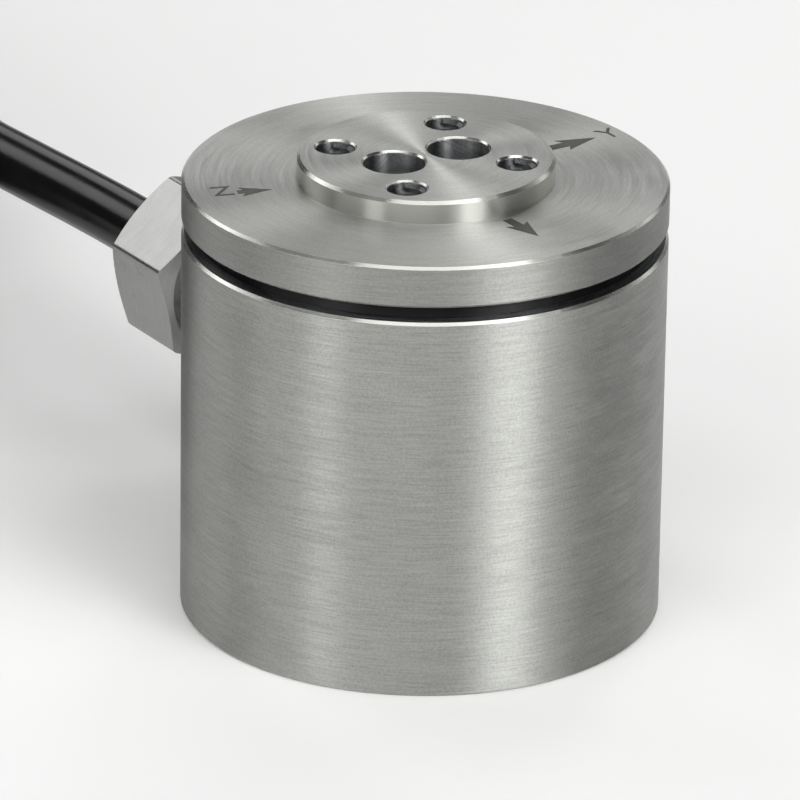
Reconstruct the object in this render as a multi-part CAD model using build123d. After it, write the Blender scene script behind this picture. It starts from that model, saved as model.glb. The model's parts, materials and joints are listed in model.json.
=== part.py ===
from build123d import *
import math
import os

# Three-axis force sensor: a turned cup, a cross-beam spring element screwed to a ledge inside it,
# and a round load plate held to the hub of that element by two socket screws and two dowels.
# Millimetres. The origin is the centre of the base face, +Z points out of the load plate,
# +X and +Y are the two sideways measuring directions, and the cable leaves along -X.

os.makedirs("parts", exist_ok=True)

# Clearances
FIT = 0.05
THREAD_FIT = 0.04
SEAL_CLEARANCE = 0.3
CUT_OVER = 1.0
OVER = 0.01
DRILL_TIP = 0.3

# Housing
HOUSING_D = 50.0
HOUSING_H = 41.0
UPPER_WALL = 3.0
LOWER_WALL = 8.5
FLOOR_T = 7.0
LEDGE_DEPTH = 11.6
EDGE_CHAMFER = 0.3
BASE_HOLE_IN = 5.0
BASE_HOLE_DEPTH = 8.0

# Load plate
GAP_H = 1.6
PLATE_D = 50.0
PLATE_T = 4.4
BOSS_D = 26.5
BOSS_H = 2.4
BOSS_CHAMFER = 0.35
NECK_D = 16.0
NECK_FILLET = 0.8
MOUNT_HOLE_IN = 3.75
MOUNT_DEPTH = 5.5
MOUNT_THREAD_D = 4.0
MOUTH_CHAMFER = 0.2
SMALL_CHAMFER = 0.1

# Gap seal
SEAL_SEAT_W = 1.4
SEAL_SEAT_DEPTH = 2.0
SEAL_W = 2.2

# Spring element
RING_H = 6.0
RING_W = 4.75
HUB_D = 16.0
HUB_RISE = 1.0
HUB_DROP = 1.0
BEAM_W = 5.0
BEAM_H = 5.0
BEAM_NOTCH_R = 1.2
GAUGE_L = 2.6
GAUGE_W = 2.0
GAUGE_T = 0.15
TAB_L = 3.4
TAB_W = 2.6
TAB_T = 0.4

# Fasteners: thread, head diameter, head height, socket across flats, socket depth
M3 = (3.0, 5.5, 3.0, 2.5, 1.5)
M2_5 = (2.5, 4.5, 2.5, 2.0, 1.2)
PLATE_SCREW_Y = 3.9
HEAD_SINK = 1.8
COUNTERBORE_D = 6.4
HUB_ENGAGE = 6.0
RING_ENGAGE = 5.0
RING_SCREW_SPREAD = 13.0
DOWEL_D = 3.0
DOWEL_X = 5.0
DOWEL_HALF = 4.0

# Circuit board: its pins and screws are set in from its rim
BOARD_CLEARANCE = 3.0
BOARD_T = 1.6
SPACER_H = 4.0
SPACER_D = 5.0
BOARD_SCREW_IN = 3.5
FLOOR_ENGAGE = 3.0
PIN_D = 0.9
PIN_ABOVE = 1.6
PIN_BELOW = 1.0
GAUGE_PIN_IN = 1.5
GAUGE_PIN_STEP = 8.0
CABLE_PIN_IN = 2.5
CABLE_PIN_ROW = 2.2
CABLE_PIN_STEP = 2.0
CHIP_L = 2.0
CHIP_W = 1.25
CHIP_H = 0.6
CHIP_ROW = 1.8
CHIP_STEP = 2.6
TAG_T = 0.4
TAG_W = 2.6
TAG_L = 4.6

# Gauge wires
WIRE_D = 0.5
WIRE_STEP = 1.0
WIRE_BEND_R = 1.0
WIRE_RING_GAP = 2.0
WIRE_DROP = 4.0
WIRE_RISE = 3.0

# Cable gland, measured outwards from the sensor's axis along -X
GLAND_DROP = 7.0
PORT_THREAD_D = 12.0
PORT_START = 2.0
SPOT_DEPTH = 2.0
SPOT_FACE_D = 19.5
WASHER_T = 1.0
WASHER_D = 16.5
GLAND_AF = 17.0
BODY_HEX_L = 6.5
BODY_THREAD_D = 13.8
BODY_LENGTH = 16.0
NIPPLE_L = 6.8
GLAND_BORE_D = 7.3
SOCKET_D = 10.8
SOCKET_SHELF = 1.0
CLAW_GAP = 0.4
CLAW_RIM = 1.5
CLAW_TIP_WALL = 1.4
CLAW_SLOT = 0.7
NUT_PLAY = 0.1
THREAD_SHOWN = 5.9
NUT_LENGTH = 11.3
NUT_WALL = 1.2
HEX_TURN = -12.4
HEX_EDGE_R = 0.8
HEX_CHAMFER_ANGLE = 30.0
HEX_FACE_SHARE = 0.93

# Cable and its cores
CABLE_D = 6.8
CABLE_LENGTH = 2000.0
CORE_D = 1.2
CORE_RING_R = 1.85
CORE_COLOURS = ("red", "black", "green", "white", "yellow", "blue", "brown", "orange")
UPPER_CORE_REACH = 3.5
LOWER_CORE_REACH = 2.3
CORE_STAGGER = 0.4
CORE_BEND_R = 0.9
UPPER_CORE_RISE = 3.0
LOWER_CORE_RISE = 1.2
SCREEN_D = 0.6
SCREEN_IN = 0.95
SCREEN_GAP = 0.15
SCREEN_REACH = 2.5
SCREEN_SPREAD = 0.8
SCREEN_RISE = 5.0
SCREEN_BEND_R = 1.3
TAG_LAP = 1.0
BEND_SHARE = 0.45

# Cable end
SLEEVE_D = 7.6
SLEEVE_L = 9.0
END_LIFT = 0.5
LEAD_L = 20.0
LEAD_STEP = 1.5
LEAD_LIFT = 0.7
LEAD_BENDS = (6.0, 13.0)
LEAD_SAG = 0.6
LEAD_FAN = 0.08
LEAD_BEND_R = 12.0
TIN_L = 5.0
TIN_D = 0.8
TIN_GAP = 0.06

# Tied hank of put-away cable
HANK_X = -128.0
HANK_Y = -22.0
HANK_LAYERS = 4
TIE_W = 5.0
TIE_T = 1.1
FIRST_TIE_SHARE = 0.6
ENTRY_DIP = 1.0

# Heights and radii that follow from the sizes above
HOUSING_R = HOUSING_D / 2
BASE_HOLE_R = HOUSING_R - BASE_HOLE_IN
MOUNT_HOLE_R = BOSS_D / 2 - MOUNT_HOLE_IN
UPPER_R = HOUSING_R - UPPER_WALL
LOWER_R = HOUSING_R - LOWER_WALL
LEDGE_Z = HOUSING_H - LEDGE_DEPTH
RING_TOP = LEDGE_Z + RING_H
RING_OUTER_R = UPPER_R - FIT
RING_INNER_R = RING_OUTER_R - RING_W
HUB_TOP = RING_TOP + HUB_RISE
HUB_BOTTOM = LEDGE_Z - HUB_DROP
PLATE_UNDER = HOUSING_H + GAP_H
PLATE_TOP = PLATE_UNDER + PLATE_T
TOTAL_H = PLATE_TOP + BOSS_H
HEAD_TOP = TOTAL_H - HEAD_SINK
HEAD_SEAT = HEAD_TOP - M3[2]
BOARD_R = LOWER_R - BOARD_CLEARANCE
BOARD_SCREW_R = BOARD_R - BOARD_SCREW_IN
GAUGE_PIN_R = BOARD_R - GAUGE_PIN_IN
BOARD_Z = FLOOR_T + SPACER_H
BOARD_TOP = BOARD_Z + BOARD_T
PIN_TOP = BOARD_TOP + PIN_ABOVE
RING_SCREW_R = (RING_INNER_R + RING_OUTER_R) / 2
BEAM_MID_R = (HUB_D / 2 + RING_INNER_R) / 2
BEAM_MID_Z = LEDGE_Z + RING_H / 2
BEAM_TOP = BEAM_MID_Z + BEAM_H / 2
TAB_R = RING_SCREW_R
GLAND_Z = LEDGE_Z - GLAND_DROP
SPOT_FACE = HOUSING_R - SPOT_DEPTH
BODY_START = SPOT_FACE + WASHER_T
BODY_SHOULDER = BODY_START + BODY_HEX_L
BODY_END = BODY_START + BODY_LENGTH
NUT_START = BODY_SHOULDER + THREAD_SHOWN
NUT_END = NUT_START + NUT_LENGTH
CABLE_R = CABLE_D / 2
INNER_TURN_R = 3 * CABLE_D
OUTER_TURN_R = INNER_TURN_R + CABLE_D
HANK_OUTER_R = OUTER_TURN_R + CABLE_R
HANK_INNER_R = INNER_TURN_R - CABLE_R
HANK_TOP = TIE_T + HANK_LAYERS * CABLE_D
TOP_LAYER_Z = HANK_TOP - CABLE_D

QUARTERS = (45, 135, 225, 315)
RING_SCREW_ANGLES = [q + s * RING_SCREW_SPREAD for q in QUARTERS for s in (-1, 1)]
SPACER_ANGLES = (0, 120, 240)
GAUGE_PIN_GROUPS = (40, 100, 260, 320)

# Cable route from inside the gland to where it joins the hank
CABLE_ROUTE = [
    (-17.5, 0.0, GLAND_Z),
    (-55.0, 0.0, GLAND_Z),
    (-92.5, -1.8, 21.8),
    (-115.0, 5.2, 24.9),
    (-138.0, 5.2, 24.9),
]

pieces = {}


def keep(name, *solids):
    """Store one node: a single solid, or a group of separate solids."""
    pieces[name] = solids[0] if len(solids) == 1 else Compound(children=list(solids))


def polar(radius, angle, z=0.0):
    """Point at a radius and an angle in degrees."""
    a = math.radians(angle)
    return (radius * math.cos(a), radius * math.sin(a), z)


def beside(radius, angle, side, z):
    """Point at a radius and an angle in degrees, then a step sideways."""
    x, y, _ = polar(radius, angle)
    a = math.radians(angle)
    return (x - side * math.sin(a), y + side * math.cos(a), z)


def rod(radius, height, at=(0, 0, 0)):
    """Upright cylinder that stands on the point at."""
    return Pos(*at) * Cylinder(radius, height, align=(Align.CENTER, Align.CENTER, Align.MIN))


def tube(outer_r, inner_r, height, at=(0, 0, 0)):
    """Upright ring that stands on the point at."""
    return rod(outer_r, height, at) - rod(inner_r, height, at)


def block(length, width, height, at=(0, 0, 0)):
    """Box that stands on the point at."""
    return Pos(*at) * Box(length, width, height, align=(Align.CENTER, Align.CENTER, Align.MIN))


def turned(*profile):
    """Solid of revolution about Z from (radius, height) points."""
    return revolve(make_face(Plane.XZ * Polyline(*profile, close=True)), Axis.Z)


def hex_prism(flats, height, at=(0, 0, 0), turn=0.0):
    """Upright hexagonal bar that stands on the point at."""
    return Pos(*at) * extrude(RegularPolygon(flats / math.sqrt(3), 6, rotation=turn), height)


def wire(diameter, points, radius):
    """Round wire along straight runs joined by arcs."""
    path = FilletPolyline(*points, radius=radius)
    return sweep((path ^ 0) * Circle(diameter / 2), path=path)


def thread_hole(size, depth, at, chamfer_size=MOUTH_CHAMFER):
    """Tapped hole at its major diameter, sunk from the point at, with a chamfered mouth."""
    r = size / 2 + THREAD_FIT
    tip = r * DRILL_TIP
    return Pos(*at) * turned((0, OVER), (r + chamfer_size, OVER), (r + chamfer_size, 0),
                             (r, -chamfer_size), (r, -depth), (0, -depth - tip))


def cap_screw(size, length, at):
    """Hexagon socket head screw, head top at the point at, shank pointing down."""
    thread_d, head_d, head_h, flats, socket = size
    edge = head_h * 0.1
    head = turned((0, 0), (head_d / 2 - edge, 0), (head_d / 2, -edge), (head_d / 2, -head_h),
                  (0, -head_h))
    shank = turned((0, -head_h), (thread_d / 2, -head_h), (thread_d / 2, -head_h - length + edge),
                   (thread_d / 2 - edge, -head_h - length), (0, -head_h - length))
    return Pos(*at) * (head + shank - hex_prism(flats, socket, (0, 0, -socket)))


def towards_port(solid):
    """Turn a solid built along +Z so that it points out of the cable port along -X."""
    return Pos(0, 0, GLAND_Z) * Rot(0, -90, 0) * solid


def build_housing():
    """Cup with a ledge for the spring element, a seal seat at the rim and the cable port."""
    cup = rod(HOUSING_R, HOUSING_H)
    rims = cup.edges().filter_by(GeomType.CIRCLE)
    cup = chamfer(rims, EDGE_CHAMFER)
    cup -= rod(LOWER_R, HOUSING_H, (0, 0, FLOOR_T))
    cup -= rod(UPPER_R, HOUSING_H, (0, 0, LEDGE_Z))
    cup -= rod(UPPER_R + SEAL_SEAT_W, HOUSING_H, (0, 0, HOUSING_H - SEAL_SEAT_DEPTH))
    cup -= towards_port(rod(SPOT_FACE_D / 2, HOUSING_R, (0, 0, SPOT_FACE)))
    cup -= towards_port(rod(PORT_THREAD_D / 2 + THREAD_FIT, HOUSING_R, (0, 0, LOWER_R - PORT_START)))
    for angle in RING_SCREW_ANGLES:
        cup -= thread_hole(M2_5[0], RING_ENGAGE + CUT_OVER, polar(RING_SCREW_R, angle, LEDGE_Z),
                           SMALL_CHAMFER)
    for angle in SPACER_ANGLES:
        cup -= thread_hole(M2_5[0], FLOOR_ENGAGE + CUT_OVER, polar(BOARD_SCREW_R, angle, FLOOR_T),
                           SMALL_CHAMFER)
    base_hole = Rot(180, 0, 0) * thread_hole(MOUNT_THREAD_D, BASE_HOLE_DEPTH, (0, 0, 0))
    for angle in QUARTERS:
        cup -= Pos(*polar(BASE_HOLE_R, angle)) * base_hole
    return cup


def build_load_plate():
    """Disc with a raised boss on top and a neck below that seats on the hub."""
    disc = rod(PLATE_D / 2, PLATE_T, (0, 0, PLATE_UNDER))
    disc = chamfer(disc.edges().filter_by(GeomType.CIRCLE), EDGE_CHAMFER)
    boss = rod(BOSS_D / 2, BOSS_H, (0, 0, PLATE_TOP))
    boss = chamfer(boss.edges().group_by(Axis.Z)[-1], BOSS_CHAMFER)
    r, low, high = NECK_D / 2, HUB_TOP, PLATE_UNDER
    neck = turned((0, low), (r, low), (r, high - NECK_FILLET), (r + NECK_FILLET, high), (0, high))
    plate = disc + boss + neck
    for side in (-1, 1):
        y = side * PLATE_SCREW_Y
        plate -= rod(COUNTERBORE_D / 2, TOTAL_H, (0, y, HEAD_SEAT))
        plate -= rod(M3[0] / 2 + 4 * THREAD_FIT, TOTAL_H, (0, y, 0))
        mouth = chamfer_cone(COUNTERBORE_D / 2, MOUTH_CHAMFER)
        plate -= Pos(0, y, TOTAL_H) * mouth
        plate -= rod(DOWEL_D / 2 + FIT, DOWEL_HALF + FIT, (side * DOWEL_X, 0, HUB_TOP))
    for angle in QUARTERS:
        plate -= thread_hole(MOUNT_THREAD_D, MOUNT_DEPTH, polar(MOUNT_HOLE_R, angle, TOTAL_H))
    return plate


def chamfer_cone(radius, size):
    """Cutter for the chamfered mouth of a bore whose rim lies at height zero."""
    return turned((0, OVER), (radius + size, OVER), (radius + size, 0), (radius, -size), (0, -size))


def build_gap_seal():
    """Soft ring in its seat at the rim, with a lip that reaches up into the gap."""
    outer = UPPER_R + SEAL_SEAT_W - FIT
    inner = outer - SEAL_W
    low = HOUSING_H - SEAL_SEAT_DEPTH
    high = PLATE_UNDER - SEAL_CLEARANCE
    bevel = SEAL_W * 0.25
    return turned((inner, low), (outer, low), (outer, HOUSING_H), (outer - bevel, high),
                  (inner + bevel, high), (inner, HOUSING_H))


def build_spring_element():
    """Outer ring, hub and four waisted beams machined from one piece."""
    body = tube(RING_OUTER_R, RING_INNER_R, RING_H, (0, 0, LEDGE_Z))
    reach = 2 * RING_INNER_R + CUT_OVER
    for angle in (0, 90):
        bar = block(reach, BEAM_W, BEAM_H, (0, 0, BEAM_MID_Z - BEAM_H / 2))
        body += Rot(0, 0, angle) * bar
    body += rod(HUB_D / 2, HUB_TOP - HUB_BOTTOM, (0, 0, HUB_BOTTOM))
    notch_rs = (HUB_D / 2 + 1.5 * BEAM_NOTCH_R, RING_INNER_R - 1.5 * BEAM_NOTCH_R)
    for quarter in range(4):
        for r in notch_rs:
            for side in (-1, 1):
                notch = rod(BEAM_NOTCH_R, RING_H + 2 * CUT_OVER,
                            (r, side * BEAM_W / 2, LEDGE_Z - CUT_OVER))
                body -= Rot(0, 0, 90 * quarter) * notch
    for angle in RING_SCREW_ANGLES:
        body -= rod(M2_5[0] / 2 + 4 * THREAD_FIT, RING_H + 2 * CUT_OVER,
                    polar(RING_SCREW_R, angle, LEDGE_Z - CUT_OVER))
    for side in (-1, 1):
        body -= thread_hole(M3[0], HUB_ENGAGE + CUT_OVER, (0, side * PLATE_SCREW_Y, HUB_TOP),
                            SMALL_CHAMFER)
        body -= rod(DOWEL_D / 2 + FIT, DOWEL_HALF + CUT_OVER,
                    (side * DOWEL_X, 0, HUB_TOP - DOWEL_HALF - FIT))
    return body


def build_gauges():
    """Foil gauges: one set on the beam tops, one on the sides of each beam pair."""
    top = block(GAUGE_L, GAUGE_W, GAUGE_T, (BEAM_MID_R, 0, BEAM_TOP))
    low = BEAM_MID_Z - GAUGE_W / 2
    sides = [block(GAUGE_L, GAUGE_T, GAUGE_W, (BEAM_MID_R, s * (BEAM_W + GAUGE_T) / 2, low))
             for s in (-1, 1)]
    keep("gauges_z", *[Rot(0, 0, 90 * q) * top for q in range(4)])
    keep("gauges_x", *[Rot(0, 0, 90 + 180 * q) * s for q in range(2) for s in sides])
    keep("gauges_y", *[Rot(0, 0, 180 * q) * s for q in range(2) for s in sides])


def build_terminal_tabs():
    """Terminal strips bonded to the ring, one between each two beams."""
    strip = block(TAB_W, TAB_L, TAB_T, (TAB_R, 0, RING_TOP))
    return [Rot(0, 0, angle) * strip for angle in QUARTERS]


def build_gauge_wires():
    """Three thin wires from each terminal strip down to the pins on the circuit board."""
    wires = []
    start_z = RING_TOP + TAB_T + WIRE_D / 2
    for tab_angle, pin_angle in zip(QUARTERS, GAUGE_PIN_GROUPS):
        for step in (-1, 0, 1):
            x, y, _ = polar(GAUGE_PIN_R, pin_angle + step * GAUGE_PIN_STEP)
            side = step * WIRE_STEP
            drop_r = RING_INNER_R - WIRE_RING_GAP
            points = [beside(TAB_R, tab_angle, side, start_z),
                      beside(drop_r, tab_angle, side, start_z),
                      beside(drop_r, tab_angle, side, HUB_BOTTOM - WIRE_DROP),
                      (x, y, PIN_TOP + WIRE_RISE), (x, y, PIN_TOP)]
            wires.append(wire(WIRE_D, points, WIRE_BEND_R))
    return wires


def build_board():
    """Round circuit board with holes for its screws and pins."""
    board = rod(BOARD_R, BOARD_T, (0, 0, BOARD_Z))
    through, low = BOARD_T + 2 * CUT_OVER, BOARD_Z - CUT_OVER
    for angle in SPACER_ANGLES:
        board -= rod(M2_5[0] / 2 + 2 * FIT, through, polar(BOARD_SCREW_R, angle, low))
    for x, y in cable_pin_places() + gauge_pin_places():
        board -= rod(PIN_D / 2 + THREAD_FIT, through, (x, y, low))
    return board


def cable_pin_places():
    """Two rows of four pins on the side that faces the cable port."""
    outer = CABLE_PIN_IN - BOARD_R
    return [(x, step * CABLE_PIN_STEP) for x in (outer, outer + CABLE_PIN_ROW)
            for step in (-1.5, -0.5, 0.5, 1.5)]


def gauge_pin_places():
    """Four groups of three pins near the rim of the board."""
    return [polar(GAUGE_PIN_R, group + step * GAUGE_PIN_STEP)[:2]
            for group in GAUGE_PIN_GROUPS for step in (-1, 0, 1)]


def build_pins(places):
    """Round pins that stand through the board."""
    return [rod(PIN_D / 2, PIN_BELOW + BOARD_T + PIN_ABOVE, (x, y, BOARD_Z - PIN_BELOW))
            for x, y in places]


def build_trim_resistors():
    """Two rows of small chip resistors on the board."""
    return [block(CHIP_L, CHIP_W, CHIP_H, (x, y, BOARD_TOP))
            for x in (-CHIP_ROW, CHIP_ROW) for y in (-CHIP_STEP, 0.0, CHIP_STEP)]


def tag_place():
    """Centre of the board screw that also clamps the earth tag."""
    return polar(BOARD_SCREW_R, SPACER_ANGLES[2], BOARD_TOP)


def build_earth_tag():
    """Flat ring under one board screw, with a tongue for the cable screen."""
    x, y, z = tag_place()
    tag = rod(SPACER_D / 2, TAG_T, (x, y, z)) + block(TAG_L, TAG_W, TAG_T, (x - TAG_L / 2, y, z))
    return tag - rod(M2_5[0] / 2 + 2 * FIT, TAG_T + 2 * CUT_OVER, (x, y, z - CUT_OVER))


def build_board_screws():
    """Three screws through the board and its spacers into the floor."""
    length = BOARD_T + SPACER_H + FLOOR_ENGAGE
    lifts = (0, 0, TAG_T)
    return [cap_screw(M2_5, length + lift, polar(BOARD_SCREW_R, angle, BOARD_TOP + M2_5[2] + lift))
            for angle, lift in zip(SPACER_ANGLES, lifts)]


def core_places():
    """Centres of the cores in the cable's cross-section, as (y, z) from its axis."""
    return [(CORE_RING_R * math.cos(math.radians(a)), CORE_RING_R * math.sin(math.radians(a)))
            for a in (157.5, 112.5, 67.5, 22.5, 202.5, 247.5, 292.5, 337.5)]


def build_cores():
    """Insulated cores from the end of the jacket to the pins on the board."""
    start_x = CABLE_ROUTE[0][0]
    rows = cable_pin_places()
    pins = rows[4:] + rows[:4]
    for colour, (y, z), (px, py) in zip(CORE_COLOURS, core_places(), pins):
        upper = z > 0
        bend_x = start_x + (UPPER_CORE_REACH if upper else LOWER_CORE_REACH) + CORE_STAGGER * z
        high = PIN_TOP + (UPPER_CORE_RISE if upper else LOWER_CORE_RISE)
        points = [(start_x, y, GLAND_Z + z), (bend_x, y, GLAND_Z + z), (px, py, high),
                  (px, py, PIN_TOP)]
        keep("core_" + colour, wire(CORE_D, points, CORE_BEND_R))


def build_screen_wire():
    """Bare screen wire from the jacket to the tongue of the earth tag."""
    x, y, z = tag_place()
    start_x = CABLE_ROUTE[0][0] + SCREEN_GAP
    side = SCREEN_IN - CABLE_R
    tail_x = x - TAG_L + TAG_LAP
    return wire(SCREEN_D, [(start_x, side, GLAND_Z),
                           (start_x + SCREEN_REACH, side - SCREEN_SPREAD, GLAND_Z),
                           (tail_x, y, z + SCREEN_RISE), (tail_x, y, z + TAG_T)], SCREEN_BEND_R)


def gland_hex(start, length, flats):
    """Hexagonal bar with rounded corners and both ends chamfered."""
    corner = flats / math.sqrt(3)
    face_r = flats / 2 * HEX_FACE_SHARE
    end = start + length
    drop = (corner - face_r) * math.tan(math.radians(HEX_CHAMFER_ANGLE))
    bar = hex_prism(flats, length, (0, 0, start), HEX_TURN)
    bar = fillet(bar.edges().filter_by(Axis.Z), HEX_EDGE_R)
    cone = turned((0, start), (face_r, start), (corner, start + drop), (corner, end - drop),
                  (face_r, end), (0, end))
    return bar & cone


def build_gland():
    """Cable gland: washer, body, rubber bush, clamping claw and nut."""
    bore = GLAND_BORE_D / 2
    thread = BODY_THREAD_D / 2
    washer = tube(WASHER_D / 2, PORT_THREAD_D / 2 + FIT, WASHER_T, (0, 0, SPOT_FACE))
    keep("gland_washer", towards_port(washer))
    nipple = rod(PORT_THREAD_D / 2, NIPPLE_L, (0, 0, BODY_START - NIPPLE_L))
    collar = rod(thread, BODY_LENGTH - BODY_HEX_L, (0, 0, BODY_SHOULDER))
    body = gland_hex(BODY_START, BODY_HEX_L, GLAND_AF) + nipple + collar
    body -= rod(bore, BODY_LENGTH + NIPPLE_L + 2 * CUT_OVER,
                (0, 0, BODY_START - NIPPLE_L - CUT_OVER))
    body -= rod(SOCKET_D / 2, BODY_LENGTH, (0, 0, BODY_SHOULDER + SOCKET_SHELF))
    keep("gland_body", towards_port(body))
    bush_start = BODY_SHOULDER + SOCKET_SHELF + FIT
    bush = tube(SOCKET_D / 2 - FIT, CABLE_R + THREAD_FIT, BODY_END - bush_start - FIT,
                (0, 0, bush_start))
    keep("gland_bush", towards_port(bush))
    claw_r = thread - CLAW_GAP
    claw_end = NUT_END - NUT_WALL - 2 * FIT
    rim_end = BODY_END + CLAW_RIM
    claw = turned((bore, BODY_END), (claw_r, BODY_END), (claw_r, rim_end),
                  (bore + CLAW_TIP_WALL, claw_end), (bore, claw_end))
    for k in range(3):
        claw -= Rot(0, 0, 60 * k) * block(BODY_THREAD_D, CLAW_SLOT, 2 * (claw_end - BODY_END),
                                          (0, 0, rim_end))
    keep("gland_claw", towards_port(claw))
    inside = turned((0, NUT_START - CUT_OVER), (thread + THREAD_FIT, NUT_START - CUT_OVER),
                    (thread + THREAD_FIT, rim_end + NUT_PLAY),
                    (bore + CLAW_TIP_WALL + 2 * NUT_PLAY, claw_end + FIT), (bore, claw_end + FIT),
                    (bore, NUT_END + CUT_OVER), (0, NUT_END + CUT_OVER))
    nut = gland_hex(NUT_START, NUT_LENGTH, GLAND_AF) - inside
    keep("gland_nut", towards_port(nut))


def corner_radius(before, corner, after):
    """Largest even arc at a corner of a cable route."""
    run_in, run_out = Vector(*corner) - Vector(*before), Vector(*after) - Vector(*corner)
    half_turn = math.radians(run_in.get_angle(run_out)) / 2
    return BEND_SHARE * min(run_in.length, run_out.length) / math.tan(half_turn)


def build_cable():
    """Free cable from inside the gland to the hank, and the length that this takes."""
    radii = [corner_radius(*CABLE_ROUTE[i - 1:i + 2]) for i in range(1, len(CABLE_ROUTE) - 1)]
    print("cable arc radii", [round(r, 1) for r in radii])
    path = FilletPolyline(*CABLE_ROUTE, radius=radii)
    cable = sweep((path ^ 0) * Circle(CABLE_R), path=path)
    print("cable volume", round(cable.volume, 1), "section by length",
          round(math.pi * CABLE_R ** 2 * path.length, 1))
    return cable, path.length - (NUT_END + CABLE_ROUTE[0][0])


def hank_run(free_length):
    """Straight length of the hank that uses up the rest of the cable."""
    turns = math.pi * ((2 * HANK_LAYERS - 1) * OUTER_TURN_R + 2 * HANK_LAYERS * INNER_TURN_R)
    lap = HANK_X - CABLE_ROUTE[-1][0]
    return (CABLE_LENGTH - free_length - turns + lap - SLEEVE_L) / (4 * HANK_LAYERS - 1)


def build_hank(run):
    """Outer shape of the tied hank, open where the cable joins it and where its end lies."""
    mid_x = HANK_X - run / 2
    base = Pos(mid_x, HANK_Y, TIE_T)
    hank = base * extrude(SlotCenterToCenter(run, 2 * HANK_OUTER_R), HANK_TOP - TIE_T)
    hank -= base * extrude(SlotCenterToCenter(run, 2 * HANK_INNER_R), HANK_TOP)
    groove = CABLE_D / 2
    far_x = HANK_X - run
    over = HANK_TOP + CUT_OVER
    ramp = [(far_x, over), (far_x, TOP_LAYER_Z), (mid_x, TOP_LAYER_Z), (HANK_X, HANK_TOP),
            (HANK_X, over)]
    inner_cut = extrude(make_face(Plane.XZ * Polyline(*ramp, close=True)), groove, both=True)
    hank -= Pos(0, HANK_Y - INNER_TURN_R, 0) * inner_cut
    slope = [(mid_x, over), (mid_x, HANK_TOP), (HANK_X, TOP_LAYER_Z), (HANK_X, over)]
    outer_cut = extrude(make_face(Plane.XZ * Polyline(*slope, close=True)), groove, both=True)
    hank -= Pos(0, HANK_Y - OUTER_TURN_R, 0) * outer_cut
    return hank - near_top_cut()


def near_top_cut():
    """Missing outer turn of the top layer, where the cable comes in over the near end."""
    join = HANK_X - CABLE_ROUTE[-1][0]
    low, height = TOP_LAYER_Z - ENTRY_DIP, 2 * CABLE_D
    reach = HANK_OUTER_R + CUT_OVER
    half = block(reach, 2 * reach, height, (HANK_X + reach / 2, HANK_Y, low))
    ring = tube(reach, HANK_INNER_R + CABLE_D, height, (HANK_X, HANK_Y, low))
    lane = block(join, CABLE_D + CUT_OVER, height,
                 (HANK_X - join / 2, HANK_Y + OUTER_TURN_R + CUT_OVER / 2, TOP_LAYER_Z))
    return (half & ring) + lane


def build_hank_ties(run):
    """Two straps round the hank, one on each long side."""
    ties = []
    mid_r = (HANK_INNER_R + HANK_OUTER_R) / 2
    width, height = 2 * CABLE_D, HANK_TOP - TIE_T
    for side, x in ((1, HANK_X - run * FIRST_TIE_SHARE), (-1, HANK_X - TIE_W / 2)):
        centre = Pos(x, HANK_Y + side * mid_r, TIE_T + height / 2)
        outer = Box(TIE_W, width + 2 * TIE_T, height + 2 * TIE_T)
        outer = fillet(outer.edges().filter_by(Axis.X), TIE_T)
        inner = Box(TIE_W + CUT_OVER, width + 2 * FIT, height + 2 * FIT)
        ties.append(centre * (outer - inner))
    return ties


def build_cable_end(run):
    """Shrink sleeve, bare-ended leads and their tinned tips, lying on the hank."""
    far_x = HANK_X - run
    y0, z0 = HANK_Y - INNER_TURN_R + END_LIFT, TOP_LAYER_Z + CABLE_R + END_LIFT
    sleeve = Pos(far_x, y0, z0) * Rot(0, 90, 0) * rod(SLEEVE_D / 2, SLEEVE_L)
    keep("end_sleeve", sleeve)
    tips = []
    start_x = far_x + SLEEVE_L
    first, second = LEAD_BENDS
    places = [(step * LEAD_STEP, dz) for dz in (LEAD_LIFT, -LEAD_LIFT)
              for step in (-1.5, -0.5, 0.5, 1.5)]
    for number, (colour, (dy, dz)) in enumerate(zip(CORE_COLOURS, places)):
        y, z = y0 + dy, z0 + dz
        fan_y = y0 + dy * (1.0 + LEAD_FAN * (number % 3))
        points = [(start_x, y, z), (start_x + first, y, z), (start_x + second, fan_y, z - LEAD_SAG),
                  (start_x + LEAD_L, fan_y, z)]
        keep("lead_" + colour, wire(CORE_D, points, LEAD_BEND_R))
        end = Pos(start_x + LEAD_L + TIN_GAP, fan_y, z) * Rot(0, 90, 0)
        tips.append(end * rod(TIN_D / 2, TIN_L))
    keep("tinned_tips", *tips)


keep("housing", build_housing())
keep("load_plate", build_load_plate())
keep("gap_seal", build_gap_seal())
keep("spring_element", build_spring_element())
build_gauges()
keep("terminal_tabs", *build_terminal_tabs())
keep("gauge_wires", *build_gauge_wires())
keep("element_screws", *[cap_screw(M2_5, RING_H + RING_ENGAGE,
                                   polar(RING_SCREW_R, angle, RING_TOP + M2_5[2]))
                         for angle in RING_SCREW_ANGLES])
keep("plate_screws", *[cap_screw(M3, HEAD_SEAT - HUB_TOP + HUB_ENGAGE, (0, y, HEAD_TOP))
                       for y in (-PLATE_SCREW_Y, PLATE_SCREW_Y)])
keep("dowels", *[rod(DOWEL_D / 2, 2 * DOWEL_HALF, (x, 0, HUB_TOP - DOWEL_HALF))
                 for x in (-DOWEL_X, DOWEL_X)])
keep("circuit_board", build_board())
keep("board_spacers", *[tube(SPACER_D / 2, M2_5[0] / 2 + 2 * FIT, SPACER_H,
                             polar(BOARD_SCREW_R, angle, FLOOR_T)) for angle in SPACER_ANGLES])
keep("board_screws", *build_board_screws())
keep("cable_pins", *build_pins(cable_pin_places()))
keep("gauge_pins", *build_pins(gauge_pin_places()))
keep("trim_resistors", *build_trim_resistors())
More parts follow.
